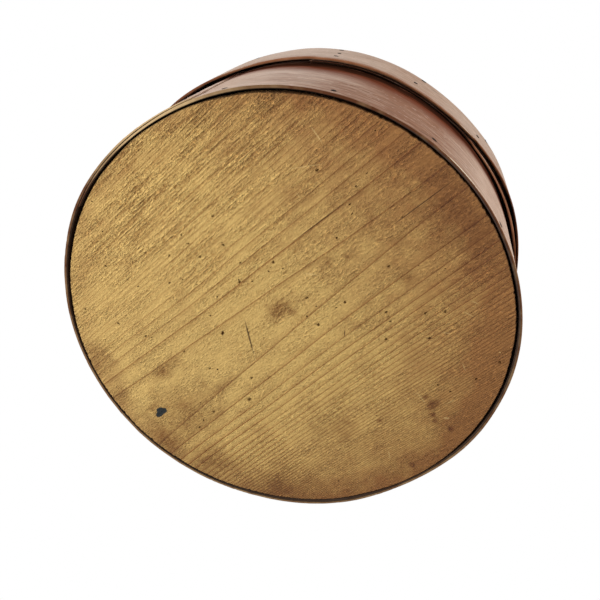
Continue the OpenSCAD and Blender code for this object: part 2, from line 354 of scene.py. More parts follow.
def layer(form, turn, rise):
    """Inner radius and thickness of the strip at angles past its inner end and shares of its height.

    The inner layer of the lap grows from the tip to its whole thickness, as the sine of the angle left to the
    outer end takes it away; the outer layer is what lies between that scarf and a circle of its own. Before
    the lap the strip climbs onto its own inner end, as the sine of the angle since the climb began. Towards
    the upper edge and the outer end the nails and tacks draw the layers together; before that end the outer
    layer may gape, and the inner one goes with it above. Flats draw the hoop in, less at its upper edge by
    the lean.
    """
    over = turn - 2 * np.pi
    left = np.clip(form.lap - np.where(over > 0, over, turn), 0, form.lap)
    pared = form.thickness - (form.thickness - form.tip) * np.sin(left) / math.sin(form.lap)
    lifted = np.sin(np.clip(over + form.climb, 0, form.climb)) / math.sin(form.climb)
    shut = 1 - (1 - rise) * np.where(over > 0, np.clip(left / SHUT_ANGLE, 0, 1), 1)
    radius = form.inner + np.where(over > 0, form.slit + pared, form.rise * lifted)
    radius = radius + standing_off(form, left) * np.where(over > 0, 1, rise)
    flat = out_of_round(form.flats, turn + form.end_at) * (1 - form.lean * rise)
    radius = radius - flat - form.slit * lifted * shut
    thick = np.where(over > 0, form.tip + form.thickness - pared, pared)
    return radius, thick


def swing(form, turn, radius, height):
    """Points at a radius from the axis and an angle past the strip's inner end."""
    heading = turn + form.end_at
    return np.stack(np.broadcast_arrays(radius * np.cos(heading), radius * np.sin(heading), height), -1)


def section(outer_rows, inner_rows, corner=4):
    """A rounded rectangle as one closed round: lower outer corner, outer face, upper corners, inner face and
    lower inner corner. Gives each point's side (1 outer, -1 inner), rise (0 to 1) and outward angle."""
    quarter = np.linspace(0, np.pi / 2, corner)

    def rows(count):
        """Shares of the height, closer together towards the edges: even ones, half eased by a cosine."""
        even = np.linspace(0, 1, count + 2)[1:-1]
        return 0.5 * even + 0.5 * (0.5 - 0.5 * np.cos(np.pi * even))

    outer, inner = rows(outer_rows), rows(inner_rows)[::-1]
    ones, nones = np.ones(corner), np.zeros(corner)
    side = np.r_[ones, np.ones(outer_rows), ones, -ones, -np.ones(inner_rows), -ones]
    rise = np.r_[nones, outer, ones, ones, inner, nones]
    facing = np.r_[quarter - np.pi / 2, np.zeros(outer_rows), quarter,
                   quarter + np.pi / 2, np.full(inner_rows, np.pi), quarter + np.pi]
    return side, rise, facing


def bent_strip(form, columns, outer_rows, inner_rows, seed, chips=()):
    """The strip's section carried round its hoop and its lap. The hoop strays inwards from round by a slow
    wave that both layers of the lap share, the inner layer springs away from the outer one towards the lower
    edge, and that edge is worn by dips about 30 mm long, sparse nicks about 6 mm long, and the chips. Gives
    the points, and their UV, bare edge, heading, share of a painted arris highlight and share of the way
    inwards."""
    turn = np.linspace(0, 2 * np.pi + form.lap, columns)[:, None]
    side, rise, facing = (row[None, :] for row in section(outer_rows, inner_rows))
    radius, thick = layer(form, turn, rise)
    arris = np.minimum(form.arris, 0.45 * thick)
    stray = form.wave * (0.4 * ripple(np.cos(turn), np.sin(turn), 1.1, 1.1, seed, 10) - 1)
    ease = np.sin(np.pi * np.clip(turn / form.lap, 0, 1)) ** 0.5
    spring = -form.spring * ease * (1 - rise) ** 2
    run = turn * (form.inner + form.thickness)
    nick = 0.1 * MM * np.abs(ripple(run, 0 * run, 30 * MM, 1, seed + 1))
    nick = nick + 0.12 * MM * np.maximum(ripple(run, 0 * run, 6 * MM, 1, seed + 2) - 1.2, 0)
    for at, half_width, depth in chips:
        nick = nick + depth * np.exp(-((run - at * (form.inner + form.thickness)) / half_width) ** 4)
    out = radius + thick / 2 + side * (thick / 2 - arris) + arris * np.cos(facing) + stray + spring
    dents = 0.05 * MM * ripple(run, rise * (form.high - form.low), 50 * MM, 20 * MM, seed + 3)
    low = form.low + nick * (1 - rise) ** 12
    height = low + arris + rise * (form.high - form.low - 2 * arris) + arris * np.sin(facing)
    height = np.minimum(height, form.high)
    points = swing(form, turn, out + dents * np.cos(facing), height)
    uv = np.stack(np.broadcast_arrays(run, height), -1)
    rim = np.broadcast_to(np.abs(np.sin(facing)) > 0.3, height.shape).astype(float)
    # The arrises that get a painted highlight: the lower outer one, and more weakly the lower inner one.
    corner = np.exp(-((facing + np.pi / 6) / 0.7) ** 2) * (1 - rise) ** 120
    corner = corner + 0.4 * np.exp(-((facing - 1.25 * np.pi) / 0.5) ** 2)
    return points, uv, rim, turn + form.end_at, corner, 0.5 - 0.5 * side


def tube_faces(columns, rows):
    """Quads of a closed section carried along an open path, with a flat face on each end."""
    a = np.arange(columns - 1)[:, None] * rows + np.arange(rows)[None, :]
    b = np.arange(columns - 1)[:, None] * rows + np.roll(np.arange(rows), -1)[None, :]
    quads = np.stack([a, a + rows, b + rows, b], -1).reshape(-1, 4)
    first = np.arange(rows)
    last = (columns - 1) * rows + np.arange(rows)[::-1]
    return [*quads.tolist(), first.tolist(), last.tolist()]


def disc_grid(count):
    """A square grid s, t drawn onto the unit disc: x is s root(1 - t2/2), y is t root(1 - s2/2)."""
    s, t = np.meshgrid(np.linspace(-1, 1, count + 1), np.linspace(-1, 1, count + 1), indexing="ij")
    return s * np.sqrt(1 - t * t / 2), t * np.sqrt(1 - s * s / 2)


def disc_faces(count):
    """Quads of that grid, facing up."""
    corner = np.arange(count)[:, None] * (count + 1) + np.arange(count)[None, :]
    return np.stack([corner, corner + count + 1, corner + count + 2, corner + 1], -1).reshape(-1, 4)


def disc_edge(count):
    """Indices round that grid's rim, counter-clockwise seen from above."""
    run = np.arange(count)
    width = count + 1
    return np.r_[run * width, count * width + run, (count - run) * width + count, count - run]


def board_outline(form, board, along, across):
    """Distance of the board's rim from its middle in a direction given along and across the grain: the
    strip's inner radius less the fit, drawn in across the grain by the shrinkage or by the hoop's flats,
    whichever is more, let out where the lap stands off, and torn a little at the end grain."""
    reach = np.hypot(along, across)
    reach = np.where(reach == 0, 1, reach)
    c, s = along / reach, across / reach
    radius = form.inner - board.fit
    heading = np.arctan2(s, c) + board.grain_at
    flat = out_of_round(form.flats, heading) * (1 - BOARD_SEAT * form.lean)
    left = np.clip(form.lap - (heading - form.end_at) % (2 * np.pi), 0, form.lap)
    flat = flat - BOARD_SEAT * standing_off(form, left)
    torn = np.maximum(ripple(c * radius, s * radius, 3.5 * MM, 3.5 * MM, 5), 0) * 0.4 * board.fit * c ** 2
    worn = np.maximum(ripple(c * radius, s * radius, 50 * MM, 50 * MM, 6), 0) * 0.2 * board.fit
    return radius - np.maximum(board.shrink * np.abs(s), flat) - np.minimum(flat, 0) - torn - worn


def round_board(form, board, face, back, relief, cells=280, thin=4):
    """A round board: a fine grid on the shown face, sunk by relief along and across the grain, a worn rim,
    and a coarser grid on the back, which a ring of many-cornered faces joins to the rim. Gives the points,
    faces, share of the rim, and places along and across the grain in millimetres."""
    sign = 1 if face < back else -1
    span = back - face
    fine_x, fine_y = disc_grid(cells)
    coarse_x, coarse_y = disc_grid(cells // thin)
    rim = disc_edge(cells)
    ring_x, ring_y = fine_x.ravel()[rim], fine_y.ravel()[rim]
    round_over = 0.7 * MM
    # Rows of the rim from the face to the back: how far each lies inside the outline, and its depth.
    inset = np.array([0.2, 0, 0, 0.15, 0.4])[:, None] * MM
    rise = np.array([0.25 * MM, round_over, abs(span) - 0.6 * MM, abs(span) - 0.15 * MM, abs(span)])[:, None]
    outline = board_outline(form, board, ring_x, ring_y)

    def spread(x, y, margin):
        """Points of the unit disc drawn out to the outline less a margin."""
        full = board_outline(form, board, x, y) - margin
        return full * x, full * y

    face_u, face_v = spread(fine_x, fine_y, round_over)
    back_u, back_v = spread(coarse_x, coarse_y, 3 * MM)
    rim_u, rim_v = (outline - inset) * ring_x, (outline - inset) * ring_y
    sunk = relief(face_u, face_v)
    u = np.r_[face_u.ravel(), rim_u.ravel(), back_u.ravel()]
    v = np.r_[face_v.ravel(), rim_v.ravel(), back_v.ravel()]
    depth = np.r_[sunk.ravel(), (rise + 0 * rim_u).ravel(), np.full(back_u.size, abs(span))]
    z = face + sign * depth
    c, s = math.cos(board.grain_at), math.sin(board.grain_at)
    x = c * u - s * v
    y = s * u + c * v

    start, count, rows = face_u.size, rim.size, len(inset)
    loops = np.vstack([rim[None, :], start + np.arange(rows * count).reshape(rows, count)])
    ahead = np.roll(loops, -1, axis=1)
    walls = np.stack([loops[:-1], ahead[:-1], ahead[1:], loops[1:]], -1).reshape(-1, 4)
    back_rim = start + rows * count + disc_edge(cells // thin)
    last = np.r_[loops[-1], loops[-1][:1]]
    steps = np.arange(back_rim.size)[:, None] * thin + np.arange(thin + 1)[None, :]
    ring = np.concatenate([last[steps], np.roll(back_rim, -1)[:, None], back_rim[:, None]], 1)
    faces = [disc_faces(cells)[:, ::-1], walls, disc_faces(cells // thin) + start + rows * count, ring]
    if sign < 0:
        faces = [part[:, ::-1] for part in faces]
    listed = [row for part in faces for row in part.tolist()]
    edge = np.r_[np.zeros(face_u.size), np.ones(rim_u.size), np.zeros(back_u.size)]
    return np.stack([x, y, z], -1), listed, edge, (u / MM, v / MM)


def blobs(u, v, marks):
    """Strength of soft elliptical marks at points in millimetres: the largest strength times a Gaussian."""
    total = np.zeros_like(u)
    for along, across, half_length, half_width, strength in marks:
        distance = ((u - along) / half_length) ** 2 + ((v - across) / half_width) ** 2
        total = np.maximum(total, strength * np.exp(-distance))
    return total


def nearest(u, v, pits):
    """Offset along and across the grain to the nearest pit, and its radius, at points in millimetres."""
    along, across, radius = (np.array(column)[None, :] for column in zip(*pits))
    du, dv = u[:, None] - along, v[:, None] - across
    chosen = np.argmin(np.hypot(du, dv) - radius, axis=1)
    row = np.arange(len(u))
    return np.stack([du[row, chosen], dv[row, chosen], radius[0, chosen]], -1)


def groove(u, v, scratch):
    """Depth share of a scratch at points in millimetres: one on its line, falling off over its half width."""
    (u0, v0), (u1, v1), half_width = scratch
    run = np.array([u1 - u0, v1 - v0])
    share = np.clip(((u - u0) * run[0] + (v - v0) * run[1]) / (run @ run), 0, 1)
    away = np.hypot(u - u0 - share * run[0], v - v0 - share * run[1])
    return np.exp(-(away / (1.4 * half_width)) ** 2)


def bottom_relief(u, v):
    """How far the underside lies above its plane: a worn waviness along the grain, pits and deep
    scratches."""
    u, v = u / MM, v / MM
    sunk = 0.16 + 0.05 * ripple(u, v, 90, 14, 11) + 0.03 * ripple(u, v, 12, 2.6, 12)
    for along, across, radius in PITS:
        away = (u - along) ** 2 / 2.2 + (v - across) ** 2
        sunk = sunk + 0.3 * radius * np.exp(-away / (0.8 * radius) ** 2)
    for scratch in (DARK_SCRATCHES[0], LIGHT_SCRATCHES[0]):
        sunk = sunk + 0.3 * groove(u, v, scratch)
    return np.maximum(sunk, 0) * MM


def lid_relief(u, v):
    """How far the lid's top lies below its plane: shallow wear and a little cupping towards the rim."""
    u, v = u / MM, v / MM
    sunk = 0.16 + 0.06 * ripple(u, v, 80, 16, 21) + 0.02 * ripple(u, v, 10, 3, 22) + 0.2 * (v / 124) ** 2
    return np.maximum(sunk, 0) * MM


def heads(at, outward, along, radius, proud, seed, sides=12):
    """Hammered iron heads: for each place a small closed lump whose profile goes from a nearly flat crown
    over a worn rim to its foot inside the wood; the outline strays from round and the crown tilts a
    little."""
    draw = np.random.default_rng(seed)
    count = len(at)
    up = np.cross(outward, along)
    # The profile from crown to foot, in shares of the radius and of how proud the head stands.
    share = np.array([0.35, 0.8, 1.0, 1.0, 0.6])
    lift = np.array([1.0, 0.85, 0.35, -3.0, -3.5])
    round_ = np.linspace(0, 2 * np.pi, sides, endpoint=False)
    stray = 1 + 0.1 * np.cos(2 * round_[None, :] + draw.uniform(0, 6.28, (count, 1)))
    stray = stray + draw.normal(0, 0.05, (count, sides))
    tilt = draw.normal(0, 0.12, (count, 1, 1)) * np.cos(round_ + 1.0)[None, None, :]
    reach = radius * share[None, :, None] * stray[:, None, :]
    rise = proud * (lift[None, :, None] + tilt * (lift[None, :, None] > 0))
    points = (at[:, None, None, :] + rise[..., None] * outward[:, None, None, :]
              + (reach * np.cos(round_))[..., None] * along[:, None, None, :]
              + (reach * np.sin(round_))[..., None] * up[:, None, None, :])
    rows = len(share)
    base = np.arange(count)[:, None, None] * rows * sides + np.arange(rows - 1)[None, :, None] * sides
    a = base + np.arange(sides)[None, None, :]
    b = base + np.roll(np.arange(sides), -1)[None, None, :]
    quads = np.stack([a, a + sides, b + sides, b], -1).reshape(-1, 4)
    crown = np.arange(count)[:, None] * rows * sides + np.arange(sides)[None, :]
    foot = crown[:, ::-1] + (rows - 1) * sides
    return points.reshape(-1, 3), [*quads.tolist(), *crown.tolist(), *foot.tolist()]


def on_strip(form, turn, height, inside=False):
    """Places on the strip's outer or inner face, with the directions out of it and along it."""
    turn, height = np.asarray(turn, float), np.asarray(height, float)
    radius, thick = layer(form, turn, (height - form.low) / (form.high - form.low))
    at = swing(form, turn, radius if inside else radius + thick, height)
    facing = turn + form.end_at
    outward = np.stack([np.cos(facing), np.sin(facing), 0 * facing], -1)
    along = np.stack([-np.sin(facing), np.cos(facing), 0 * facing], -1)
    return at, (-outward if inside else outward), along


def outermost(form, turn):
    """Angle of the layer that shows on the outside: a whole turn further on within the lap."""
    turn = np.asarray(turn, float)
    return np.where(turn <= form.lap, turn + 2 * np.pi, turn)


def make_piece(name, points, faces, material, body, node, uv=None, marks=None, flat=0):
    """Puts points and faces into a mesh at the origin, with its UV map and point attributes, ties it
    to its body and hides its node; as many of the last faces as flat says stay unsmoothed."""
    mesh = bpy.data.meshes.new(name)
    mesh.from_pydata(points.reshape(-1, 3).tolist(), [], faces)
    smooth = np.ones(len(mesh.polygons), bool)
    if flat:
        smooth[-flat:] = False
    mesh.polygons.foreach_set("use_smooth", smooth)
    if uv is not None:
        corner = np.zeros(len(mesh.loops), np.int32)
        mesh.loops.foreach_get("vertex_index", corner)
        mesh.uv_layers.new(name="grain").data.foreach_set("uv", uv.reshape(-1, 2)[corner].ravel())
    for key, values in (marks or {}).items():
        kind, field = ("FLOAT_VECTOR", "vector") if values.shape[-1] == 3 else ("FLOAT", "value")
        attribute = mesh.attributes.new(key, kind, "POINT")
        attribute.data.foreach_set(field, np.asarray(values, np.float32).ravel())
    if mesh.validate():
        raise RuntimeError(f"{name} has faces that had to be corrected")
    mesh.materials.append(material)
    piece = bpy.data.objects.new(name, mesh)
    bpy.context.scene.collection.objects.link(piece)
    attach(piece, body)
    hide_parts(node)
    return piece


# Finishes

# A Mix node's inputs for colours, by number because its names repeat: how far the second colour is laid over
# the first. Then its settings, for plain colours and for glazes.
SHARE, UNDER, OVER = 0, 6, 7
MIX = {"out": 2, "data_type": "RGBA"}
MULTIPLY = {**MIX, "blend_type": "MULTIPLY"}


def add(tree, kind, *values, out=0, at=None, **options):
    """Adds one shader node with its options; values fill its inputs in order and at fills them by name: a
    socket is linked, None is left alone and anything else is set. Gives one of its outputs, if it has any."""
    node = tree.nodes.new("ShaderNode" + kind)
    for key, value in options.items():
        setattr(node, key, value)
    for key, value in [*enumerate(values), *(at or {}).items()]:
        if isinstance(value, bpy.types.NodeSocket):
            tree.links.new(value, node.inputs[key])
        elif value is not None:
            node.inputs[key].default_value = value
    return node.outputs[out] if node.outputs else None


def blank(name):
    """A new node material, and its empty tree."""
    material = bpy.data.materials.new(name)
    material.use_nodes = True
    material.node_tree.nodes.clear()
    return material, material.node_tree


def finish_surface(tree, colour, roughness, height, specular):
    """Ends a tree in one principled surface, bumped by a height in millimetres."""
    bump = add(tree, "Bump", at={"Strength": 1.0, "Distance": MM, "Height": height})
    surface = add(tree, "BsdfPrincipled", at={"Base Color": colour, "Roughness": roughness, "Normal": bump,
                                              "Specular IOR Level": specular})
    add(tree, "OutputMaterial", surface)


def stroke_mask(tree, where, strokes):
    """Long thin ellipses on points in millimetres: each is the distance from its middle in shares of its half
    length and half width, turned to its line."""
    mask = None
    for (u0, v0), (u1, v1), half_width in strokes:
        middle = ((u0 + u1) / 2, (v0 + v1) / 2, 0)
        half_length = math.hypot(u1 - u0, v1 - v0) / 2
        local = add(tree, "Mapping", where, middle, (0, 0, math.atan2(v1 - v0, u1 - u0)),
                    (half_length, half_width, 1e6), vector_type="TEXTURE")
        away = add(tree, "VectorMath", local, operation="LENGTH", out="Value")
        share = add(tree, "MapRange", away, 1.0, 0.5, 0.0, 1.0)
        mask = share if mask is None else add(tree, "Math", mask, share, operation="MAXIMUM")
    return mask


def board_grain(tree, look):
    """Places on a board in millimetres along its grain, across it and up: together, drawn out along the grain
    for slow changes, and each by itself."""
    object_place = add(tree, "TexCoord", out="Object")
    where = add(tree, "Mapping", object_place, (0, 0, 0), (0, 0, -look.grain_at), (1 / MM,) * 3)
    slow = add(tree, "Mapping", where, None, None, (0.3, 1, 1))
    u = add(tree, "SeparateXYZ", where)
    return SimpleNamespace(where=where, slow=slow, u=u, v=u.node.outputs[1], w=u.node.outputs[2])


def growth_rings(tree, look, grain, shown_at):
    """Growth rings by the distance from the tree's heart, which lies off centre, leans across and dips along
    the board. Gives how far into its ring a point is, the ring's width on the face, slope and strength."""
    sway = add(tree, "TexNoise", grain.slow, at={"Scale": 1 / 40, "Detail": 1.0})
    sway = add(tree, "MapRange", sway, 0, 1, -2.0, 2.0)
    lean = add(tree, "Math", grain.u, 0.028, sway, operation="MULTIPLY_ADD")
    across = add(tree, "Math", grain.v, lean, operation="ADD")
    across = add(tree, "Math", across, look.heart_at / MM, operation="SUBTRACT")
    dip = add(tree, "Math", grain.u, -0.00003, 0.0072, operation="MULTIPLY_ADD")
    deep = add(tree, "Math", dip, grain.u, look.heart / MM, operation="MULTIPLY_ADD")
    behind = add(tree, "Math", grain.w, shown_at / MM, operation="SUBTRACT")
    behind = add(tree, "Math", behind, operation="ABSOLUTE")
    behind = add(tree, "MapRange", behind, 1, 20, 0, 19)
    deep = add(tree, "Math", deep, behind, operation="SUBTRACT")
    radial = add(tree, "CombineXYZ", across, deep)
    radius = add(tree, "VectorMath", radial, operation="LENGTH", out="Value")
    beyond = add(tree, "Math", radius, (look.heart + look.first_ring) / MM, operation="SUBTRACT")
    narrowing = add(tree, "Math", beyond, 1 / 40, 1.0, operation="MULTIPLY_ADD")
    rings = add(tree, "Math", beyond, look.ring / MM, operation="DIVIDE")
    rings = add(tree, "Math", rings, narrowing, operation="MULTIPLY")
    within = add(tree, "Math", rings, operation="FRACT")
    number = add(tree, "Math", rings, operation="FLOOR")
    chance = add(tree, "TexWhiteNoise", None, number, noise_dimensions="1D")
    strength = add(tree, "MapRange", chance, 0, 1, 0.75, 1.0)
    slope = add(tree, "Math", across, radius, operation="DIVIDE")
    slope = add(tree, "Math", slope, operation="ABSOLUTE")
    slope = add(tree, "Math", slope, 0.06, operation="MAXIMUM")
    width = add(tree, "Math", look.ring / MM, narrowing, operation="DIVIDE")
    width = add(tree, "Math", width, slope, operation="DIVIDE")
    return within, width, slope, strength


def growth_lines(tree, look, grain, shown_at):
    """Growth lines by their distance on the face. A line darkens over 4.5 mm where the rings lie flat and
    over 1.4 mm where they are steep, is darkest over its last 0.8 to 1.5 mm, and then stops short. Close
    lines are fainter, and so are those of the upper side, where the wood is torn. In one worn patch the lines
    stand proud, each with a painted highlight on its side towards the heart. Gives the lines and those
    highlights."""
    within, width, slope, strength = growth_rings(tree, look, grain, shown_at)
    after = add(tree, "Math", within, width, operation="MULTIPLY")
    before = add(tree, "Math", width, after, operation="SUBTRACT")
    core_width = add(tree, "MapRange", slope, 0.2, 0.4, 1.5, 0.8)
    shoulder_width = add(tree, "MapRange", slope, 0.25, 0.5, 4.5, 1.4)
    core = add(tree, "MapRange", before, 0.2, core_width, 0.95, 0.0, interpolation_type="SMOOTHSTEP")
    shoulder = add(tree, "MapRange", before, 0.0, shoulder_width, 0.42, 0.0)
    line = add(tree, "Math", core, shoulder, operation="MAXIMUM")
    crisp = add(tree, "MapRange", grain.v, -60, -30, 0.6, 1.0, interpolation_type="SMOOTHSTEP")
    close = add(tree, "MapRange", slope, 0.2, 0.5, 1.0, 0.85)
    for part in (strength, crisp, close):
        line = add(tree, "Math", line, part, operation="MULTIPLY")
    proud = add(tree, "MapRange", after, 0.1, 0.8, 1.0, 0.0)
    patch_end = add(tree, "MapRange", grain.u, -50, -53, 0.15, 1.0)
    patch_top = add(tree, "MapRange", grain.v, 24, 40, 0.0, 1.0)
    worn_patch = add(tree, "Math", patch_end, patch_top, operation="MULTIPLY")
    proud = add(tree, "Math", proud, worn_patch, operation="MULTIPLY")
    bolder = add(tree, "MapRange", worn_patch, 0, 1, 0.9, 1.6)
    line = add(tree, "Math", line, bolder, operation="MULTIPLY", use_clamp=True)
    return line, proud


def torn_grain(tree, grain):
    """Fine grain of a planed face: fibres about 0.9 mm wide, blotches of about 14 mm, and in rough patches of
    about 9 by 30 mm scrubbed streaks of about 1.5 by 21 mm, torn dashes of about 1.1 by 2.4 mm, which are
    dents or ridges, and grit of about 1 mm. The wood is rougher towards the upper rim, and its streaks fade
    towards one end of the grain. Real fibres are finer; these are as coarse as they need to be to show."""
    long = add(tree, "Mapping", grain.where, None, None, (0.05, 1, 1))
    fibre = add(tree, "TexNoise", long, at={"Scale": 1 / 0.9, "Detail": 3.0, "Roughness": 0.6})
    streaky = add(tree, "Mapping", grain.where, (31, 17, 0), None, (0.07, 1, 1))
    streak = add(tree, "TexNoise", streaky, at={"Scale": 1 / 1.5, "Detail": 1.0})
    short = add(tree, "Mapping", grain.where, None, None, (0.45, 1, 1))
    dash = add(tree, "TexNoise", short, at={"Scale": 1 / 1.1, "Detail": 1.0, "Roughness": 0.6})
    blotch = add(tree, "TexNoise", grain.where, at={"Scale": 1 / 14, "Detail": 4.0, "Roughness": 0.65})
    patch = add(tree, "TexNoise", grain.slow, at={"Scale": 1 / 9, "Detail": 3.0})
    speck = add(tree, "TexNoise", grain.where, at={"Scale": 1 / 1.0, "Detail": 1.0, "Roughness": 0.7})
    rough = add(tree, "MapRange", patch, 0.36, 0.64, 0.4, 1.2)
    upper_rim = add(tree, "MapRange", grain.v, -58, -90, 1.0, 1.5)
    rough = add(tree, "Math", rough, upper_rim, operation="MULTIPLY")
    dent = add(tree, "MapRange", dash, 0.45, 0.32, 0.0, 1.0)
    ridge = add(tree, "MapRange", dash, 0.54, 0.68, 0.0, 1.0)
    grit = add(tree, "MapRange", speck, 0.3, 0.7, -0.5, 0.5)
    dent, ridge, grit = (add(tree, "Math", part, rough, operation="MULTIPLY") for part in (dent, ridge, grit))
    scrubbed = add(tree, "MapRange", streak, 0.35, 0.65, -0.5, 0.5)
    torn_side = add(tree, "MapRange", grain.v, -85, -10, 1.8, 0.5)
    planed_end = add(tree, "MapRange", grain.u, -70, -10, 0.35, 1.0)
    for part in (torn_side, planed_end, rough):
        scrubbed = add(tree, "Math", scrubbed, part, operation="MULTIPLY")
    return SimpleNamespace(fibre=fibre, dash=dash, blotch=blotch, speck=speck, dent=dent, ridge=ridge,
                           grit=grit, scrubbed=scrubbed)


def small_pits(tree, where, ragged):
    """One random dot in some of the cells of a 5 mm net, made ragged by a noise, and 1 mm wide at most."""
    net = add(tree, "VectorMath", ragged, (1.0, 1.0, 0), where, operation="MULTIPLY_ADD")
    net = add(tree, "Mapping", net, None, None, (0.6, 1, 0))
    dots = add(tree, "TexVoronoi", at={"Vector": net, "Scale": 1 / 5})
    odds = add(tree, "SeparateXYZ", dots.node.outputs["Color"])
    size = add(tree, "MapRange", odds, 0.5, 1.0, 0.0, 0.1)
    pit = add(tree, "Math", size, dots, operation="SUBTRACT")
    return add(tree, "MapRange", pit, 0.0, 0.04, 0.0, 1.0, interpolation_type="SMOOTHSTEP")


def large_pits(tree, ragged):
    """The pits of the list, by the offset to the nearest one that its point attribute holds, made ragged."""
    offset = add(tree, "Attribute", out="Vector", attribute_name="pit")
    reach = add(tree, "SeparateXYZ", offset, out=2)
    stray = add(tree, "VectorMath", ragged, (-0.5, -0.5, -0.5), operation="ADD")
    offset = add(tree, "VectorMath", stray, (1.9, 1.9, 0), offset, operation="MULTIPLY_ADD")
    offset = add(tree, "VectorMath", offset, (0.7, 1, 0), operation="MULTIPLY")
    away = add(tree, "VectorMath", offset, operation="LENGTH", out="Value")
    away = add(tree, "Math", away, reach, operation="DIVIDE")
    return add(tree, "MapRange", away, 0.65, 0.3, 0.0, 0.9)


def bare_pine(tree, look, grain, fine, line, proud):
    """Colour of bare pine: growth lines, fibres, streaks and dashes, a painted highlight beside the proud
    lines, brown furrows and dents, then a glaze of patina, which is deeper towards the handled side and the
    rim."""
    tone = add(tree, "MapRange", fine.fibre, 0.3, 0.7, 0.9, 1.1)
    upper_light = add(tree, "MapRange", grain.v, -85, -30, 0.06, 0.0)
    tone = add(tree, "Math", tone, upper_light, operation="ADD")
    lit = add(tree, "MapRange", grain.u, 10, 70, 0.32, 0.5)
    # The proud share lightens the tone as a painted highlight beside the proud lines.
    for part, gain in ((fine.scrubbed, 0.15), (fine.ridge, lit), (fine.grit, 0.26), (proud, 0.5)):
        tone = add(tree, "Math", part, gain, tone, operation="MULTIPLY_ADD")
    furrow = add(tree, "MapRange", fine.scrubbed, 0.0, -0.8, 0.0, 0.35)
    dusty = add(tree, "MapRange", grain.u, 10, 70, 0.4, 0.25)
    smooth_end = add(tree, "MapRange", grain.u, -80, -20, 0.2, 0.4)
    dusty = add(tree, "Math", dusty, smooth_end, operation="MINIMUM")
    torn_wood = add(tree, "Math", fine.dent, dusty, operation="MULTIPLY", use_clamp=True)
    along = add(tree, "MapRange", grain.u, 16, 116, 0.0, 1.0)
    down = add(tree, "MapRange", grain.v, 40, 116, 0.0, 0.62)
    old = add(tree, "Math", along, down, operation="ADD")
    out = add(tree, "VectorMath", grain.where, operation="LENGTH", out="Value")
    rim_glaze = add(tree, "MapRange", grain.v, -70, -20, 0.25, 0.5)
    handled = add(tree, "MapRange", out, 104, 126, 0.0, rim_glaze)
    old = add(tree, "Math", old, handled, operation="ADD")
    uneven = add(tree, "MapRange", fine.blotch, 0.3, 0.7, -0.22, 0.22)
    old = add(tree, "Math", old, uneven, operation="ADD", use_clamp=True)
    colour = add(tree, "Mix", at={SHARE: line, UNDER: tuple(look.early), OVER: tuple(look.late)}, **MIX)
    glazes = ((1.0, tone), (furrow, linear("#D2A878")), (torn_wood, linear("#C8A87C")),
              (old, tuple(look.patina)))
    for share, over in glazes:
        colour = add(tree, "Mix", at={SHARE: share, UNDER: colour, OVER: over}, **MULTIPLY)
    return colour


def underside_marks(tree, look, where, fine, colour):
    """Stains, dark and light scratches and the tarry spot, laid over a board's colour."""
    stain = add(tree, "Attribute", out="Fac", attribute_name="stain")
    tar = add(tree, "Attribute", out="Fac", attribute_name="tar")
    ragged = add(tree, "Math", fine.blotch, 0.6, stain, operation="MULTIPLY_ADD")
    spill = add(tree, "MapRange", ragged, 0.4, 0.95, 0.0, 0.9)
    stipple = add(tree, "MapRange", fine.dash, 0.36, 0.62, 1.1, 0.8)
    spill = add(tree, "Math", spill, stipple, operation="MULTIPLY")
    colour = add(tree, "Mix", at={SHARE: spill, UNDER: colour, OVER: tuple(look.stain)}, **MULTIPLY)
    scratches = ((DARK_SCRATCHES, 0.85, tuple(look.soot)), (LIGHT_SCRATCHES, 0.4, linear("#E0C284")))
    for strokes, most, shade in scratches:
        mask = stroke_mask(tree, where, strokes)
        mask = add(tree, "Math", mask, most, operation="MULTIPLY")
        colour = add(tree, "Mix", at={SHARE: mask, UNDER: colour, OVER: shade}, **MIX)
    ragged = add(tree, "Math", fine.speck, 0.5, tar, operation="MULTIPLY_ADD")
    tar = add(tree, "MapRange", ragged, 0.68, 0.8, 0.0, 1.0)
    return add(tree, "Mix", at={SHARE: tar, UNDER: colour, OVER: tuple(look.tar)}, **MIX)


def pine(name, look, shown_at, marked):
    """Flat-sawn pine, hand planed and left bare: pale bands between brown growth lines that open into wide
    arches where the saw ran level with the rings, torn dashes along the grain, dark pits, and a brown patina
    of use. The shown face is at the height shown_at; a marked board has stains, scratches and larger pits."""
    material, tree = blank(name)
    grain = board_grain(tree, look)
    line, proud = growth_lines(tree, look, grain, shown_at)
    fine = torn_grain(tree, grain)
    ragged = add(tree, "TexNoise", grain.where, out="Color", at={"Scale": 1 / 0.9, "Detail": 1.0})
    pit = small_pits(tree, grain.where, ragged)
    colour = bare_pine(tree, look, grain, fine, line, proud)
    if marked:
        colour = underside_marks(tree, look, grain.where, fine, colour)
        pit = add(tree, "Math", pit, large_pits(tree, ragged), operation="MAXIMUM")
    # The board's rim is darkened where it meets the strip: painted shade in the joint, with some dirt.
    joint_dirt_and_shade = add(tree, "Attribute", out="Fac", attribute_name="rim")
    joint_dirt_and_shade = add(tree, "MapRange", joint_dirt_and_shade, 0.5, 1.0, 0.0, 0.6)
    for share in (pit, joint_dirt_and_shade):
        colour = add(tree, "Mix", at={SHARE: share, UNDER: colour, OVER: tuple(look.soot)}, **MIX)

    roughness = add(tree, "MapRange", fine.fibre, 0.3, 0.7, 0.8, 0.62)
    height = add(tree, "Math", fine.fibre, 0.15, operation="MULTIPLY")
    relief = ((line, 0.15), (proud, 0.35), (fine.dent, -0.25), (fine.ridge, 0.3), (fine.grit, 0.4),
              (fine.scrubbed, 0.22), (pit, -0.4))
    for part, rise in relief:
        height = add(tree, "Math", part, rise, height, operation="MULTIPLY_ADD")
    sheen = add(tree, "MapRange", pit, 0, 1, 0.25, 0.0)
    finish_surface(tree, colour, roughness, height, sheen)
    return material


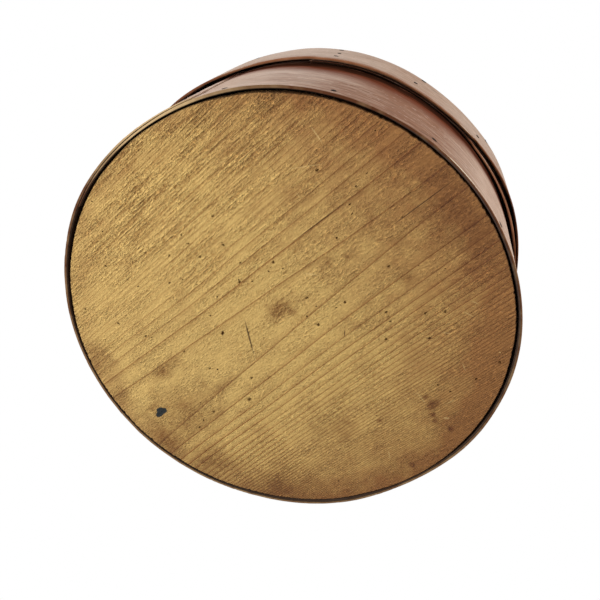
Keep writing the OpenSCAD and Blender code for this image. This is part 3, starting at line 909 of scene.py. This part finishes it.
def strip_grain(tree):
    """Places along a strip's run and height in millimetres, and its grain: streaks of about 2.2 by 88 mm,
    pores of about 0.8 by 7 mm, rubbed patches of about 28 by 70 mm, scuffs of about 2.2 by 16 mm and pale
    flecks of about 1.6 by 4 mm. Real pores are finer; these are as coarse as they need to be to show."""
    grain = add(tree, "UVMap", uv_map="grain")
    where = add(tree, "Mapping", grain, None, None, (1 / MM,) * 3)
    height = add(tree, "SeparateXYZ", where, out=1)
    long = add(tree, "Mapping", where, None, None, (0.025, 1, 1))
    streak = add(tree, "TexNoise", long, at={"Scale": 1 / 2.2, "Detail": 4.0, "Roughness": 0.6})
    short = add(tree, "Mapping", where, None, None, (0.12, 1, 1))
    pore = add(tree, "TexNoise", short, at={"Scale": 1 / 0.8, "Detail": 2.0, "Roughness": 0.6})
    broad = add(tree, "Mapping", where, None, None, (0.4, 1, 1))
    rub = add(tree, "TexNoise", broad, at={"Scale": 1 / 28, "Detail": 4.0, "Roughness": 0.6})
    fleck = add(tree, "TexNoise", broad, at={"Scale": 1 / 1.6, "Detail": 1.0})
    drawn = add(tree, "Mapping", where, None, None, (0.14, 1, 1))
    scuff = add(tree, "TexNoise", drawn, at={"Scale": 1 / 2.2, "Detail": 3.0, "Roughness": 0.65})
    return SimpleNamespace(where=where, height=height, streak=streak, pore=pore, rub=rub, fleck=fleck,
                           scuff=scuff)


def oiled_face(tree, look, grain, marks):
    """Colour of the oiled face: paler where hands rubbed it and where a sheen is painted, with streaks, pale
    flecks and dark pores.
    """
    # The paler share is partly wear and partly painted sheen.
    rubbed = add(tree, "MapRange", grain.rub, 0.3, 0.7, -0.3, 0.3)
    rubbed = add(tree, "Math", rubbed, marks.rubbed, operation="ADD")
    scuffed = add(tree, "MapRange", grain.scuff, 0.35, 0.65, -0.28, 0.28)
    rubbed = add(tree, "Math", rubbed, scuffed, operation="ADD", use_clamp=True)
    colour = add(tree, "Mix", at={SHARE: rubbed, UNDER: tuple(look.face), OVER: tuple(look.worn)}, **MIX)
    tone = add(tree, "MapRange", grain.streak, 0.3, 0.7, 0.84, 1.12)
    colour = add(tree, "Mix", at={SHARE: 1.0, UNDER: colour, OVER: tone}, **MULTIPLY)
    fleck = add(tree, "MapRange", grain.fleck, 0.66, 0.74, 0.0, 0.45)
    colour = add(tree, "Mix", at={SHARE: fleck, UNDER: colour, OVER: linear("#E4CDBF")}, **MIX)
    dots = add(tree, "MapRange", grain.pore, 0.42, 0.68, 1.05, 0.74)
    return add(tree, "Mix", at={SHARE: 1.0, UNDER: colour, OVER: dots}, **MULTIPLY)


def shelter(tree, grain, marks, red, dirt):
    """Shares of the red that was kept from light and of the dark line below the lid, which is painted shade
    with some dirt, both with a ragged edge and only on the outside of the strip."""
    ragged = add(tree, "MapRange", grain.scuff, 0.3, 0.7, -4, 4)
    edge_at = add(tree, "Math", grain.height, ragged, operation="ADD")
    red_from = add(tree, "MapRange", marks.bleached, 0, 1, *red[0])
    red_to = add(tree, "MapRange", marks.bleached, 0, 1, *red[1])
    line_shade_from, line_shade_to, fade_from, fade_to = dirt
    most = add(tree, "MapRange", marks.bleached, 0.1, 1.3, 0.85, 0.15)
    reddened = add(tree, "MapRange", edge_at, red_from, red_to, 0.0, 1.0, interpolation_type="SMOOTHSTEP")
    covered = add(tree, "MapRange", edge_at, fade_from, fade_to + 8, 1.0, 0.35)
    # The dark line below the lid's edge is painted shade with some dirt.
    under_lid_shade = add(tree, "MapRange", edge_at, line_shade_from, line_shade_to, 0.0, most, interpolation_type="SMOOTHSTEP")
    line_fading = add(tree, "MapRange", edge_at, fade_from, fade_to, 1.0, 0.0)
    outside = add(tree, "MapRange", marks.within, 0.5, 1.0, 1.0, 0.0)
    for part in (covered, outside):
        reddened = add(tree, "Math", reddened, part, operation="MULTIPLY")
    for part in (line_fading, outside):
        under_lid_shade = add(tree, "Math", under_lid_shade, part, operation="MULTIPLY")
    return reddened, under_lid_shade


def bare_edge(tree, look, grain, marks, colour):
    """The bare edge laid over a strip's colour: brown outside, dark with painted shade towards its inner
    side, and grey along its inner arris as a painted highlight; pale by stretches, painted black as shadow
    where the pale share is below nought, with painted highlights on the worn arrises. The inner wall is
    darkened beside the bottom board by painted shade with some dirt."""
    cloud = add(tree, "MapRange", grain.scuff, 0.3, 0.7, -0.2, 0.2)
    pale = add(tree, "Math", marks.pale, cloud, operation="ADD", use_clamp=True)
    brown_to = add(tree, "MapRange", marks.lined, 0, 1, 0.85, 0.35)
    dark_from = add(tree, "MapRange", marks.lined, 0, 1, 1.0, 0.55)
    brown = add(tree, "MapRange", marks.within, brown_to, dark_from, 1.0, 0.0)
    # A grey painted highlight along the inner arris.
    inner_arris_highlight = add(tree, "MapRange", marks.within, 0.62, 0.8, 0.0, marks.lined)
    # Where the pale share is below nought the edge is painted black as shadow.
    shadowed_edge = add(tree, "MapRange", marks.pale, 0, -1, 0.0, 1.0)
    # The edge starts from the dark colour, painted shade towards its inner side; brown is laid over further
    # out.
    edge = tuple(look.grime_and_shade)
    layers = ((brown, look.edge), (inner_arris_highlight, look.inner_arris_highlight), (shadowed_edge, look.grime_and_shade), (pale, look.edge_pale))
    for share, over in layers:
        edge = add(tree, "Mix", at={SHARE: share, UNDER: edge, OVER: tuple(over)}, **MIX)
    # Painted highlights on the worn arrises, broken by the pores and nearly white at their peak.
    broken = add(tree, "MapRange", grain.pore, 0.35, 0.5, 0.6, 1.0)
    bright = add(tree, "Math", marks.bright, broken, operation="MULTIPLY")
    highlight_peak = add(tree, "MapRange", bright, 0.4, 0.8, 0.0, 1.0)
    # Low on the inner wall beside the bottom board: painted shade in the joint, with some dirt.
    inside = add(tree, "MapRange", marks.within, 0.85, 1.0, 0.0, 1.0)
    low_wall = add(tree, "MapRange", grain.height, 9, 10, 0.85, 0.0)
    joint_dirt_and_shade = add(tree, "Math", inside, low_wall, operation="MULTIPLY")
    layers = ((marks.rim, edge), (bright, linear("#B98C68")), (highlight_peak, linear("#F2E4CE")),
              (joint_dirt_and_shade, tuple(look.grime_and_shade)))
    for share, over in layers:
        colour = add(tree, "Mix", at={SHARE: share, UNDER: colour, OVER: over}, **MIX)
    return colour


def bentwood(name, look, red, dirt, cracks):
    """Thin hardwood strip, steamed, bent and oiled: long fine grain along the hoop, short pores, paler where
    hands rubbed it and where a sheen is painted, redder where it was kept from light, a dark line of painted
    shade with some dirt below the lid, and bare brown wood on its edges, with painted highlights and shade.
    Red and dirt give the heights of the red and of that dark line, as at the head of the script, and cracks
    are strokes along the strip's run."""
    material, tree = blank(name)
    grain = strip_grain(tree)
    keys = ("rim", "within", "pale", "rubbed", "lined", "bleached", "bright", "iron")
    marks = SimpleNamespace(**{key: add(tree, "Attribute", out="Fac", attribute_name=key) for key in keys})
    colour = oiled_face(tree, look, grain, marks)
    reddened, under_lid_shade = shelter(tree, grain, marks, red, dirt)
    # Over the face go the red kept from light and a dark line below the lid: painted shade with some dirt.
    for share, over in ((reddened, look.shade), (under_lid_shade, look.grime_and_shade)):
        colour = add(tree, "Mix", at={SHARE: share, UNDER: colour, OVER: tuple(over)}, **MIX)
    colour = bare_edge(tree, look, grain, marks, colour)
    split = stroke_mask(tree, grain.where, cracks)
    split = add(tree, "Math", split, 0.85, operation="MULTIPLY")
    for share in (split, marks.iron):
        colour = add(tree, "Mix", at={SHARE: share, UNDER: colour, OVER: tuple(look.grime_and_shade)}, **MIX)

    roughness = add(tree, "MapRange", grain.rub, 0.3, 0.7, 0.7, 0.55)
    height = add(tree, "Math", grain.pore, -0.05, operation="MULTIPLY")
    for part, rise in ((grain.streak, 0.06), (split, -0.2)):
        height = add(tree, "Math", part, rise, height, operation="MULTIPLY_ADD")
    sheen = add(tree, "MapRange", reddened, 0, 1, 0.06, 0.0)
    finish_surface(tree, colour, roughness, height, sheen)
    return material


def worn_iron(name, look):
    """Wrought iron, hammered and rusted: black with brown rust in patches of about 0.9 mm, rough and hardly
    shiny. The skin of rust is not metallic, so nor is the surface."""
    material, tree = blank(name)
    object_place = add(tree, "TexCoord", out="Object")
    rust = add(tree, "TexNoise", object_place, at={"Scale": 1 / (0.9 * MM), "Detail": 4.0, "Roughness": 0.65})
    share = add(tree, "MapRange", rust, 0.45, 0.65, 0.0, 0.7)
    colour = add(tree, "Mix", at={SHARE: share, UNDER: tuple(look.iron), OVER: tuple(look.rust)}, **MIX)
    roughness = add(tree, "MapRange", rust, 0.3, 0.7, 0.75, 0.95)
    height = add(tree, "Math", rust, 0.08, operation="MULTIPLY")
    finish_surface(tree, colour, roughness, height, 0.1)
    return material


# Pieces

def settings():
    """The box's settings in the open scene."""
    return bpy.context.scene.pantry_box


def nail_turns(first, count):
    """Even angles round the hoop."""
    return first + np.arange(count) * 2 * np.pi / count


def nail_stain(points, places):
    """Dark stain that iron gives the wood: a Gaussian of the distance to the nearest head."""
    flat = points.reshape(-1, 3)
    near = np.full(len(flat), 1.0)
    for spot in places:
        near = np.minimum(near, np.linalg.norm(flat - spot, axis=1))
    return 0.5 * np.exp(-(near / (1.8 * MM)) ** 2)


def strip_marks(points, rim, heading, corner, within, tones, spots):
    """Point attributes of a strip: its bare edges, how far in a point lies, the painted highlights on its
    worn arrises, the stain of its nails, and by direction how pale it is, how rubbed and painted with sheen,
    how lined with a painted highlight on its inner arris, and how bleached."""
    edge, rub, line, shade, bright = tones
    shape = points.shape[:2]
    # The painted highlights along the worn arrises, strongest at the listed directions.
    worn = 0
    for at, half_width, strength in bright:
        away = heading - math.radians(at)
        worn = np.maximum(worn, strength * np.exp(-(away / math.radians(half_width)) ** 2))
    marks = {"rim": rim, "within": np.broadcast_to(within, shape),
             "bright": np.broadcast_to(worn * corner, shape), "iron": nail_stain(points, spots)}
    for key, values in (("pale", edge), ("rubbed", rub), ("lined", line), ("bleached", shade)):
        marks[key] = np.broadcast_to(by_direction(values, heading), shape)
    return marks


def bottom_nail_heights(count):
    """Heights of the bottom nails: the middle of the board's edge, each strayed by the hand that drove it,
    and one of them far above it."""
    low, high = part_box("bottom_board")
    stray = np.random.default_rng(44).uniform(-1.4, 1.4, count) * MM
    stray[HIGH_NAIL] = HIGH_NAIL_BY
    return (low.z + high.z) / 2 + stray


def lid_nail_heights(count):
    """Heights of the lid's nails: the middle of its board's edge, each strayed by the hand that drove it."""
    low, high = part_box("lid_board")
    return (low.z + high.z) / 2 + np.random.default_rng(45).uniform(-1.2, 1.2, count) * MM


def side_tacks(box, form):
    """Angles and heights of the two upright rows of tacks in the side's lap, evenly spaced up the side."""
    inset = box.iron.inset / form.inner
    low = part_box("bottom_board")[1].z + box.iron.margin
    high = form.high - box.iron.margin
    row = np.linspace(low, high, 5)
    turns = np.repeat([inset, form.lap - inset], len(row))
    return turns, np.tile(row, 2)


def lid_tacks(box, form):
    """Angles and heights of the lid's tacks: a pair at each end of the lap and two single ones between."""
    inset = box.iron.inset / form.inner
    low = form.low + box.iron.margin
    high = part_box("lid_board")[0].z - box.iron.margin
    middle = (low + high) / 2
    turns = np.linspace(inset, box.iron.lid_row, 4)
    return turns[[0, 0, 1, 2, 3, 3]], np.array([low, high, middle, middle, low, high])


def on_grain(form, cracks):
    """Cracks given by direction and height, as strokes along the strip's run and height in millimetres."""

    def run(degrees):
        """Run of the outermost layer at a direction."""
        turn = outermost(form, (math.radians(degrees) - form.end_at) % (2 * np.pi))
        return float(turn) * (form.inner + form.thickness) / MM

    return [((run(a0), z0), (run(a1), z1), half_width) for (a0, z0), (a1, z1), half_width in cracks]


def dressed_strip(form, grid, seed, tones, spots, chips=()):
    """A strip's points, faces, UV map and point attributes; grid is its columns, outer rows and inner
    rows."""
    columns, outer_rows, inner_rows = grid
    points, uv, rim, heading, corner, within = bent_strip(form, columns, outer_rows, inner_rows, seed, chips)
    marks = strip_marks(points, rim, heading, corner, within, tones, spots)
    return points, tube_faces(columns, points.shape[1]), uv, marks


class PANTRY_OT_bottom_board(bpy.types.Operator):
    """Makes the pine bottom board with its pits, stains and scratches"""
    bl_idname = "pantry.bottom_board"
    bl_label = "Bottom board"

    def execute(self, context):
        box = settings()
        form = strip_form(box.side_strip, "side_band", SIDE_FLATS)
        low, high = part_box("bottom_board")
        points, faces, edge, (u, v) = round_board(form, box.bottom, low.z, high.z, bottom_relief)
        material = pine("hand_planed_pine", box.bottom, low.z, True)
        shown = points[:, 2] < (low.z + high.z) / 2
        pit = np.where(shown[:, None], nearest(u, v, PITS), (100, 100, 1))
        marks = {"rim": edge, "stain": blobs(u, v, STAINS) * shown, "tar": blobs(u, v, TAR) * shown,
                 "pit": pit}
        make_piece("pine_bottom", points, faces, material, "box", "bottom_board", marks=marks)
        return {"FINISHED"}


class PANTRY_OT_side_strip(bpy.types.Operator):
    """Makes the bent strip of the box's side"""
    bl_idname = "pantry.side_strip"
    bl_label = "Side strip"

    def execute(self, context):
        box = settings()
        form = strip_form(box.side_strip, "side_band", SIDE_FLATS)
        turns = nail_turns(box.iron.bottom_from, box.iron.nails)
        spots = on_strip(form, outermost(form, turns), bottom_nail_heights(box.iron.nails))[0]
        tones = (SIDE_EDGE, SIDE_RUB_AND_SHEEN, SIDE_LINE, SIDE_SHADE, SIDE_HIGHLIGHTS)
        points, faces, uv, marks = dressed_strip(form, (700, 60, 26), 31, tones, spots)
        cracks = on_grain(form, SIDE_CRACKS)
        material = bentwood("bent_oiled_side", box.side_strip, SIDE_RED, SIDE_SHADE_LINE, cracks)
        make_piece("bent_side", points, faces, material, "box", "side_band", uv, marks, flat=2)
        return {"FINISHED"}


class PANTRY_OT_lid_board(bpy.types.Operator):
    """Makes the pine board that closes the lid"""
    bl_idname = "pantry.lid_board"
    bl_label = "Lid board"

    def execute(self, context):
        box = settings()
        form = strip_form(box.lid_strip, "lid_band", LID_FLATS)
        low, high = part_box("lid_board")
        points, faces, edge, _ = round_board(form, box.lid, high.z, low.z, lid_relief, 240)
        material = pine("rubbed_pine_lid", box.lid, high.z, False)
        make_piece("pine_lid_top", points, faces, material, "lid", "lid_board",
                   marks={"rim": edge})
        return {"FINISHED"}


class PANTRY_OT_lid_strip(bpy.types.Operator):
    """Makes the bent strip of the lid's hoop, with its long lap and its chipped edge"""
    bl_idname = "pantry.lid_strip"
    bl_label = "Lid strip"

    def execute(self, context):
        box = settings()
        form = strip_form(box.lid_strip, "lid_band", LID_FLATS)
        turns = nail_turns(box.iron.lid_from, box.iron.nails)
        spots = on_strip(form, outermost(form, turns), lid_nail_heights(box.iron.nails))[0]
        tones = (LID_EDGE_AND_SHADOW, LID_RUB_AND_SHEEN, LID_LINE, LID_SHADE, LID_HIGHLIGHTS)
        points, faces, uv, marks = dressed_strip(form, (760, 40, 20), 61, tones, spots, (LID_CHIP,))
        cracks = on_grain(form, LID_CRACKS)
        material = bentwood("bent_oiled_hoop", box.lid_strip, LID_RED, LID_SHADE_LINE, cracks)
        make_piece("bent_lid_hoop", points, faces, material, "lid", "lid_band", uv, marks, flat=2)
        return {"FINISHED"}


class PANTRY_OT_fasteners(bpy.types.Operator):
    """Makes the nail heads round both boards and the tack heads and clinched points of both laps"""
    bl_idname = "pantry.fasteners"
    bl_label = "Nails and tacks"

    def execute(self, context):
        box = settings()
        iron = worn_iron("rusted_iron", box.iron)
        side = strip_form(box.side_strip, "side_band", SIDE_FLATS)
        lid = strip_form(box.lid_strip, "lid_band", LID_FLATS)
        nails = (
            ("bottom_nail_heads", side, box.iron.bottom_from, bottom_nail_heights, "box", "bottom_nails", 71),
            ("lid_nail_heads", lid, box.iron.lid_from, lid_nail_heights, "lid", "lid_nails", 72),
        )
        for name, form, first, heights, body, node, seed in nails:
            turns = outermost(form, nail_turns(first, box.iron.nails))
            spots = on_strip(form, turns, heights(box.iron.nails))
            points, faces = heads(*spots, box.iron.nail_head, box.iron.proud, seed)
            make_piece(name, points, faces, iron, body, node)
        tacks = (
            ("side_tack_heads", side, side_tacks, "box", "side_lap_tacks", 73),
            ("lid_tack_heads", lid, lid_tacks, "lid", "lid_lap_tacks", 74),
        )
        for name, form, places, body, node, seed in tacks:
            turns, heights = places(box, form)
            outside = on_strip(form, outermost(form, turns), heights)
            inside = on_strip(form, turns, heights, inside=True)
            both = [np.concatenate(pair) for pair in zip(outside, inside)]
            points, faces = heads(*both, box.iron.tack_head, box.iron.proud, seed)
            make_piece(name, points, faces, iron, body, node)
        return {"FINISHED"}


# Stage

def add_camera(scene, stage):
    """Camera that looks at the underside, turned about its own axis by the roll."""
    camera = bpy.data.cameras.new("photo_camera")
    camera.lens = stage.lens
    camera.clip_start = 0.01
    holder = bpy.data.objects.new("photo_camera", camera)
    scene.collection.objects.link(holder)
    at, aim = Vector(stage.camera_at), Vector(stage.aim)
    level = (aim - at).to_track_quat("-Z", "Y")
    holder.rotation_mode = "QUATERNION"
    holder.rotation_quaternion = level @ Quaternion((0, 0, 1), stage.roll)
    holder.location = at
    scene.camera = holder


def add_surround(scene, stage):
    """World that looks white to the camera and in reflections, and gives even daylight to everything else."""
    world = bpy.data.worlds.new("white_surround")
    scene.world = world
    world.use_nodes = True
    tree = world.node_tree
    tree.nodes.clear()
    seen = add(tree, "LightPath", out="Is Camera Ray")
    paths = seen.node.outputs
    mirrored = add(tree, "Math", paths["Is Glossy Ray"], paths["Is Transmission Ray"], operation="MAXIMUM")
    seen = add(tree, "Math", seen, mirrored, operation="MAXIMUM")
    daylight = add(tree, "Background", linear("#FFFCF6"), stage.daylight)
    white = add(tree, "Background", linear("#FFFFFF"), 1.0)
    add(tree, "OutputWorld", add(tree, "MixShader", seen, daylight, white))


def add_floor(scene, stage):
    """Pale floor just under the box. It shows only from above and casts nothing, so that the underside is lit
    and seen."""
    half, z = 4.0, -0.3 * MM
    corners = [(-half, -half, z), (half, -half, z), (half, half, z), (-half, half, z)]
    mesh = bpy.data.meshes.new("floor")
    mesh.from_pydata(corners, [], [(0, 1, 2, 3)])
    floor = bpy.data.objects.new("floor", mesh)
    scene.collection.objects.link(floor)
    material, tree = blank("pale_matt_floor")
    below = add(tree, "NewGeometry", out="Backfacing")
    matt = add(tree, "BsdfDiffuse", tuple(stage.floor))
    clear = add(tree, "BsdfTransparent")
    add(tree, "OutputMaterial", add(tree, "MixShader", below, matt, clear))
    mesh.materials.append(material)
    floor.visible_shadow = False
    floor.visible_diffuse = False
    floor.visible_glossy = False


def add_lamps(scene):
    """Soft lamps facing the middle of the box, each with its place and width in metres and power in watts."""
    lamps = (
        ("key_from_below", (-0.75, 0.10, -0.62), 0.25, 7.7),
        ("fill_from_front", (0.95, -0.8, -0.25), 0.8, 10.0),
        ("key_from_above", (-0.7, -0.8, 1.1), 0.7, 11.0),
        ("back_from_above", (0.8, 0.7, 0.9), 0.8, 5.0),
    )
    middle = Vector((0, 0, 0.06))
    for name, at, width, power in lamps:
        light = bpy.data.lights.new(name, "AREA")
        light.shape = "DISK"
        light.size = width
        light.energy = power
        lamp = bpy.data.objects.new(name, light)
        lamp.location = at
        lamp.rotation_mode = "QUATERNION"
        lamp.rotation_quaternion = (middle - Vector(at)).to_track_quat("-Z", "Y")
        scene.collection.objects.link(lamp)


class PANTRY_OT_stage(bpy.types.Operator):
    """Sets the camera, the lamps, the white surround and the floor"""
    bl_idname = "pantry.stage"
    bl_label = "Stage"

    def execute(self, context):
        stage = settings().stage
        scene = context.scene
        scene.view_settings.view_transform = "Standard"
        add_camera(scene, stage)
        add_surround(scene, stage)
        add_floor(scene, stage)
        add_lamps(scene)
        return {"FINISHED"}


class PANTRY_PT_panel(bpy.types.Panel):
    """Lists the steps that build the box"""
    bl_idname = "PANTRY_PT_panel"
    bl_label = "Pantry box"
    bl_space_type = "VIEW_3D"
    bl_region_type = "UI"
    bl_category = "Pantry box"

    def draw(self, context):
        for step in STEPS:
            self.layout.operator(step.bl_idname)


STEPS = (PANTRY_OT_bottom_board, PANTRY_OT_side_strip, PANTRY_OT_lid_board, PANTRY_OT_lid_strip,
         PANTRY_OT_fasteners, PANTRY_OT_stage)
CLASSES = (BottomBoard, LidBoard, SideStrip, LidStrip, Fasteners, Stage, PantryBox, *STEPS, PANTRY_PT_panel)


def register():
    """Registers the classes and hangs the settings on the scene."""
    for cls in CLASSES:
        bpy.utils.register_class(cls)
    bpy.types.Scene.pantry_box = PointerProperty(type=PantryBox)


def unregister():
    """Takes the settings and the classes away again."""
    del bpy.types.Scene.pantry_box
    for cls in reversed(CLASSES):
        bpy.utils.unregister_class(cls)


def main():
    """Builds every piece and the stage."""
    register()
    bpy.ops.pantry.bottom_board()
    bpy.ops.pantry.side_strip()
    bpy.ops.pantry.lid_board()
    bpy.ops.pantry.lid_strip()
    bpy.ops.pantry.fasteners()
    bpy.ops.pantry.stage()


if __name__ == "__main__":
    main()
